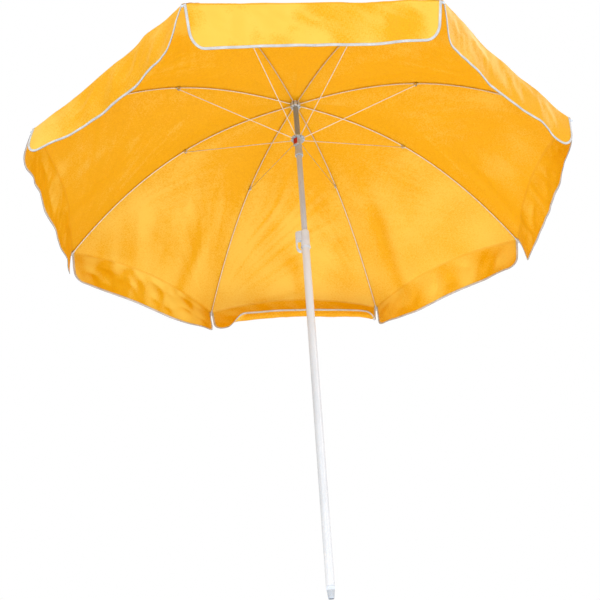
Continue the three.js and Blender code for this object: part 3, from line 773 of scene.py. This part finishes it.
def bump(tree, height, distance, strength):
    inputs = {"Height": height, "Distance": distance, "Strength": strength}
    return add(tree, "ShaderNodeBump", inputs).outputs[0]


def output(tree, shader):
    add(tree, "ShaderNodeOutputMaterial", {"Surface": shader})


def threads(tree, coordinate, pitch):
    """A wave from 0 to 1 with one crest for each thread."""
    phase = math_node(tree, "MULTIPLY", coordinate, 2 * math.pi / pitch)
    return ramp(tree, math_node(tree, "SINE", phase), -1.0, 1.0)


def cloth_measures(tree):
    vector = add(tree, "ShaderNodeAttribute", attribute_name="cloth").outputs["Vector"]
    split = add(tree, "ShaderNodeSeparateXYZ", {0: vector})
    return vector, split.outputs[0], split.outputs[1], split.outputs[2]


THREAD_PITCH = 0.62 * MM
CANVAS_DARK = (0.86, 0.435, 0.0005, 1)
CANVAS_LIGHT = (0.95, 0.53, 0.0015, 1)
# the pale yellow of the painted sheen, a painted highlight
CANVAS_PAINTED_SHEEN = (0.98, 0.66, 0.095, 1)
CANVAS_DOUBLED = (0.80, 0.36, 0.001, 1)
THROUGH_GAMMA = 0.55  # light crosses both faces of the shell, so each takes about half the colour
THROUGH_SHARE = 0.38


def canvas_material(name):
    """Satin polyester: plain weave, slubs, painted sheen, light from behind, and doubled cloth at seams and
    hem.
    """
    tree = material_tree(name)
    vector, across, along, beyond = cloth_measures(tree)
    warp = threads(tree, across, THREAD_PITCH)
    weft = threads(tree, along, THREAD_PITCH)
    weave = math_node(tree, "MULTIPLY", warp, weft)
    slub = noise(tree, stretched(tree, vector, (420.0, 130.0, 1.0)), 1.0, 2.0)
    cross_slub = noise(tree, stretched(tree, vector, (130.0, 420.0, 1.0)), 1.0, 2.0)
    grain = math_node(tree, "ADD", slub, cross_slub)
    patch = noise(tree, stretched(tree, vector, (7.0, 4.0, 1.0)), 1.0, 3.0, 0.6)
    tone = ramp(tree, grain, 0.80, 1.20)
    colour = blend_colour(tree, tone, CANVAS_DARK, CANVAS_LIGHT)
    # painted highlight: the painted sheen, clouded by patches and grain, blends the colour towards the pale
    # yellow
    painted_glint = add(tree, "ShaderNodeAttribute", attribute_name="painted_sheen").outputs["Fac"]
    painted_glint = math_node(tree, "ADD", painted_glint, ramp(tree, patch, 0.3, 0.7, -0.12, 0.12))
    painted_glint = math_node(tree, "ADD", painted_glint, ramp(tree, grain, 0.75, 1.25, -0.26, 0.26))
    pale = ramp(tree, painted_glint, 0.10, 0.90)
    colour = blend_colour(tree, pale, colour, CANVAS_PAINTED_SHEEN)
    from_seam = math_node(tree, "ABSOLUTE", across)
    near_seam = ramp(tree, from_seam, 5.0 * MM, 4.0 * MM)
    near_hem = ramp(tree, math_node(tree, "ABSOLUTE", beyond), 4.0 * MM, 3.0 * MM)
    doubled = math_node(tree, "MAXIMUM", near_seam, near_hem)
    colour = blend_colour(tree, math_node(tree, "MULTIPLY", doubled, 0.35), colour, CANVAS_DOUBLED)
    height = math_node(tree, "ADD", math_node(tree, "MULTIPLY", weave, 0.5), grain)
    normal = bump(tree, height, 0.25 * MM, 0.55)
    rough = ramp(tree, pale, 0.0, 1.0, 0.50, 0.36)
    surface = add(
        tree,
        "ShaderNodeBsdfPrincipled",
        {
            "Base Color": colour,
            "Roughness": rough,
            "Specular IOR Level": 0.9,
            "Specular Tint": (1.0, 0.82, 0.32, 1),
            "Normal": normal,
        },
    )
    through = add(tree, "ShaderNodeGamma", {"Color": colour, "Gamma": THROUGH_GAMMA}).outputs[0]
    behind = add(tree, "ShaderNodeBsdfTranslucent", {"Color": through, "Normal": normal})
    share = math_node(tree, "SUBTRACT", THROUGH_SHARE, math_node(tree, "MULTIPLY", doubled, 0.16))
    mixed = add(tree, "ShaderNodeMixShader", {0: share, 1: surface.outputs[0], 2: behind.outputs[0]})
    output(tree, mixed.outputs[0])


STITCH_PITCH = 3.2 * MM
STITCH_LINE = 1.6 * MM  # from the tape's middle
TAPE_DARK = (0.45, 0.445, 0.44, 1)
TAPE_LIGHT = (0.60, 0.595, 0.585, 1)
TAPE_STITCH = (0.70, 0.70, 0.70, 1)
TAPE_DARK_EDGE = (0.20, 0.20, 0.21, 1)


def binding_material():
    """Light grey grosgrain tape with a row of stitches."""
    tree = material_tree("binding")
    vector, along, across, _ = cloth_measures(tree)
    ribs = threads(tree, along, 0.9 * MM)
    stitch_run = threads(tree, along, STITCH_PITCH)
    from_middle = math_node(tree, "ABSOLUTE", across)
    off_line = math_node(tree, "ABSOLUTE", math_node(tree, "SUBTRACT", across, STITCH_LINE))
    stitch_side = ramp(tree, off_line, 0.5 * MM, 0.3 * MM)
    stitch = math_node(tree, "MULTIPLY", ramp(tree, stitch_run, 0.3, 0.45), stitch_side)
    soil = noise(tree, stretched(tree, vector, (30.0, 60.0, 1.0)), 1.0, 3.0)
    colour = blend_colour(tree, ramp(tree, soil, 0.35, 0.65), TAPE_DARK, TAPE_LIGHT)
    colour = blend_colour(tree, stitch, colour, TAPE_STITCH)
    # the colour is darker along both edges of the tape
    dark_edge = ramp(tree, from_middle, 2.7 * MM, 3.5 * MM)
    colour = blend_colour(tree, dark_edge, colour, TAPE_DARK_EDGE)
    height = math_node(tree, "ADD", math_node(tree, "MULTIPLY", ribs, 0.6), stitch)
    normal = bump(tree, height, 0.2 * MM, 0.6)
    surface = add(
        tree,
        "ShaderNodeBsdfPrincipled",
        {"Base Color": colour, "Roughness": 0.6, "Sheen Weight": 0.3, "Normal": normal},
    )
    output(tree, surface.outputs[0])


def object_vector(tree):
    return add(tree, "ShaderNodeTexCoord").outputs["Object"]


METAL_SPOT = (0.30, 0.28, 0.25, 1)
PAINTED_SHADE_GREY = (0.23, 0.29, 0.39, 1)  # painted shade on the upper pole above the runner, where the canopy shades it


def metal_material(name, dark, light, rough, streak):
    """Bright wire or plated steel with drawing streaks and dull spots."""
    tree = material_tree(name)
    vector = object_vector(tree)
    lines = noise(tree, stretched(tree, vector, streak), 1.0, 4.0, 0.6)
    spots = noise(tree, vector, 160.0, 3.0, 0.6)
    colour = blend_colour(tree, ramp(tree, lines, 0.35, 0.65), dark, light)
    colour = blend_colour(tree, ramp(tree, spots, 0.62, 0.75, 0.0, 0.4), colour, METAL_SPOT)
    roughness = ramp(tree, math_node(tree, "ADD", lines, spots), 0.7, 1.3, rough * 0.7, rough * 1.4)
    surface = add(
        tree,
        "ShaderNodeBsdfPrincipled",
        {
            "Base Color": colour,
            "Metallic": 1.0,
            "Roughness": roughness,
            "Normal": bump(tree, lines, 0.05 * MM, 0.4),
        },
    )
    output(tree, surface.outputs[0])


def paint_material(name, colour_dark, colour_light, rough, painted_shade_above=None):
    """Powder coat: orange peel and faint lengthwise scuffs, with painted shade above a height if one is
    given.
    """
    tree = material_tree(name)
    vector = object_vector(tree)
    peel = noise(tree, vector, 900.0, 2.0)
    scuff = noise(tree, stretched(tree, vector, (260.0, 260.0, 6.0)), 1.0, 4.0, 0.65)
    broad = noise(tree, stretched(tree, vector, (12.0, 12.0, 5.0)), 1.0, 3.0)
    colour = blend_colour(tree, ramp(tree, broad, 0.35, 0.65), colour_dark, colour_light)
    faded = tuple(0.8 * c for c in colour_dark[:3]) + (1,)
    colour = blend_colour(tree, ramp(tree, scuff, 0.60, 0.75, 0.0, 0.16), colour, faded)
    if painted_shade_above is not None:
        height = add(tree, "ShaderNodeSeparateXYZ", {0: vector}).outputs[2]
        # painted shade: the colour darkens towards the shaded grey above that height
        dull = ramp(tree, height, painted_shade_above, painted_shade_above + 60 * MM)
        colour = blend_colour(tree, dull, colour, PAINTED_SHADE_GREY)
    surface = add(
        tree,
        "ShaderNodeBsdfPrincipled",
        {
            "Base Color": colour,
            "Roughness": ramp(tree, scuff, 0.35, 0.7, rough * 0.8, rough * 1.3),
            "Coat Weight": 0.25,
            "Coat Roughness": 0.15,
            "Normal": bump(tree, peel, 0.06 * MM, 0.35),
        },
    )
    output(tree, surface.outputs[0])


def plastic_material(name, base, rough):
    """Moulded plastic: fine spark-eroded grain and faint flow marks."""
    tree = material_tree(name)
    vector = object_vector(tree)
    grain = noise(tree, vector, 1400.0, 2.0)
    flow = noise(tree, vector, 45.0, 3.0)
    darker = tuple(0.88 * c for c in base) + (1,)
    colour = blend_colour(tree, ramp(tree, flow, 0.35, 0.65), darker, tuple(base) + (1,))
    surface = add(
        tree,
        "ShaderNodeBsdfPrincipled",
        {
            "Base Color": colour,
            "Roughness": ramp(tree, flow, 0.3, 0.7, rough * 0.85, rough * 1.2),
            "Normal": bump(tree, grain, 0.05 * MM, 0.4),
        },
    )
    output(tree, surface.outputs[0])


def make_materials():
    canvas_material("canvas")
    canvas_material("seam")
    binding_material()
    metal_material("wire", (0.62, 0.59, 0.52, 1), (0.80, 0.77, 0.69, 1), 0.34, (300.0, 300.0, 40.0))
    metal_material("steel", (0.45, 0.45, 0.46, 1), (0.70, 0.70, 0.70, 1), 0.30, (200.0, 200.0, 200.0))
    paint_material("white_paint", (0.58, 0.605, 0.64, 1), (0.63, 0.655, 0.69, 1), 0.32)
    paint_material(
        "grey_paint", (0.40, 0.46, 0.55, 1), (0.47, 0.54, 0.64, 1), 0.28, painted_shade_above=RUNNER_TOP - 50 * MM
    )
    plastic_material("white_plastic", (0.60, 0.66, 0.74), 0.42)
    plastic_material("grey_plastic", (0.42, 0.49, 0.59), 0.40)
    plastic_material("red_plastic", (0.42, 0.012, 0.016), 0.32)


CAD_FINISH = {
    "ground_spike": "white_plastic",
    "lower_pole": "white_paint",
    "lock_collar": "white_plastic",
    "lever_pin": "steel",
    "lock_lever": "white_plastic",
    "upper_pole": "grey_paint",
    "guide_bush": "white_plastic",
    "hub": "white_plastic",
    "hub_ring": "steel",
    "top_cap": "white_plastic",
    "runner": "grey_plastic",
    "runner_button": "red_plastic",
}


def dress_cad_nodes():
    """Materials and softened edges for the CAD nodes that are shown as they are."""
    finishes = dict(CAD_FINISH)
    for k in range(1, RIBS + 1):
        finishes[f"strut_clip_{k}"] = "steel"
        finishes[f"tip_cap_{k}"] = "white_plastic"
    for name, finish in finishes.items():
        node = frame["nodes"][name]
        node.data.materials.clear()
        node.data.materials.append(MATERIALS[finish])
        weld = node.modifiers.new("Weld", "WELD")
        weld.merge_threshold = 0.01 * MM
        soft = node.modifiers.new("Bevel", "BEVEL")
        soft.width = 0.35 * MM
        soft.segments = 2
        soft.limit_method = "ANGLE"
        soft.angle_limit = math.radians(32)
        soft.harden_normals = True


# ---- stage ----
CAMERA_PLACE = Vector((-0.209, -2.551, -0.549))
CAMERA_AIM = Vector((-0.030, 0.0, 0.912))
CAMERA_ROLL_DEG = 3.83
CAMERA_LENS_MM = 56.7
FLOOR_HALF = 300.0
FLOOR_PALE = (0.86, 0.86, 0.86, 1)
FLOOR_GLOW = 0.22
SKY_LIGHT = 0.55
LIT_POINT = Vector((0, 0, 1.4))
WHITE = (1, 1, 1)
COOL = (0.82, 0.92, 1)  # offsets the orange light that the canopy throws on the fittings
# Area lamps: name, place, size in metres, power in watts, colour.
LAMPS = (
    ("key", (-2.2, -2.6, 4.6), 2.4, 100, WHITE),
    ("fill", (2.8, 1.6, 4.2), 3.0, 60, WHITE),
    ("side", (3.4, -2.4, 2.2), 2.0, 40, WHITE),
    ("front", (-0.9, -4.2, 0.9), 2.6, 66, COOL),
    ("low", (0.1, 0.0, 0.03), 2.2, 13, WHITE),
)


def make_camera():
    data = bpy.data.cameras.new("Camera")
    data.lens = CAMERA_LENS_MM
    data.sensor_width = 36.0
    data.clip_end = 200.0
    camera = bpy.data.objects.new("Camera", data)
    bpy.context.scene.collection.objects.link(camera)
    ahead = (CAMERA_AIM - CAMERA_PLACE).normalized()
    turn = Quaternion(ahead, math.radians(CAMERA_ROLL_DEG)) @ ahead.to_track_quat("-Z", "Y")
    camera.location = CAMERA_PLACE
    camera.rotation_mode = "QUATERNION"
    camera.rotation_quaternion = turn
    bpy.context.scene.camera = camera


def make_floor():
    """A plain pale floor that only shows from above, so that a camera below it still sees the object."""
    corners = [(x * FLOOR_HALF, y * FLOOR_HALF, 0) for x, y in ((-1, -1), (1, -1), (1, 1), (-1, 1))]
    floor = new_object("floor", corners, [[0, 1, 2, 3]])
    tree = material_tree("floor")
    pale = add(tree, "ShaderNodeBsdfDiffuse", {"Color": FLOOR_PALE})
    clear = add(tree, "ShaderNodeBsdfTransparent")
    below = add(tree, "ShaderNodeNewGeometry").outputs["Backfacing"]
    glow = add(tree, "ShaderNodeEmission", {"Color": (1, 1, 1, 1), "Strength": FLOOR_GLOW})
    lit = add(tree, "ShaderNodeAddShader", {0: pale.outputs[0], 1: glow.outputs[0]})
    mixed = add(tree, "ShaderNodeMixShader", {0: below, 1: lit.outputs[0], 2: clear.outputs[0]})
    output(tree, mixed.outputs[0])
    floor.data.materials.append(MATERIALS["floor"])


def make_light():
    world = bpy.data.worlds.new("Studio")
    bpy.context.scene.world = world
    world.use_nodes = True
    tree = world.node_tree
    tree.nodes.clear()
    path = add(tree, "ShaderNodeLightPath").outputs["Is Camera Ray"]
    strength = ramp(tree, path, 0.0, 1.0, SKY_LIGHT, 1.0)
    sky = add(tree, "ShaderNodeBackground", {"Color": (1, 1, 1, 1), "Strength": strength})
    add(tree, "ShaderNodeOutputWorld", {"Surface": sky.outputs[0]})
    for name, place, size, energy, colour in LAMPS:
        data = bpy.data.lights.new(name, "AREA")
        data.size = size
        data.energy = energy
        data.color = colour
        lamp = bpy.data.objects.new(name, data)
        bpy.context.scene.collection.objects.link(lamp)
        lamp.location = place
        lamp.visible_camera = False
        lamp.rotation_mode = "QUATERNION"
        lamp.rotation_quaternion = (LIT_POINT - Vector(place)).to_track_quat("-Z", "Y")
    bpy.context.scene.view_settings.view_transform = "Standard"


make_materials()
make_canopy()
for rib_number in range(RIBS):
    make_rib(rib_number)
    make_strut(rib_number)
make_button_leaf()
dress_cad_nodes()
make_floor()
make_light()
make_camera()
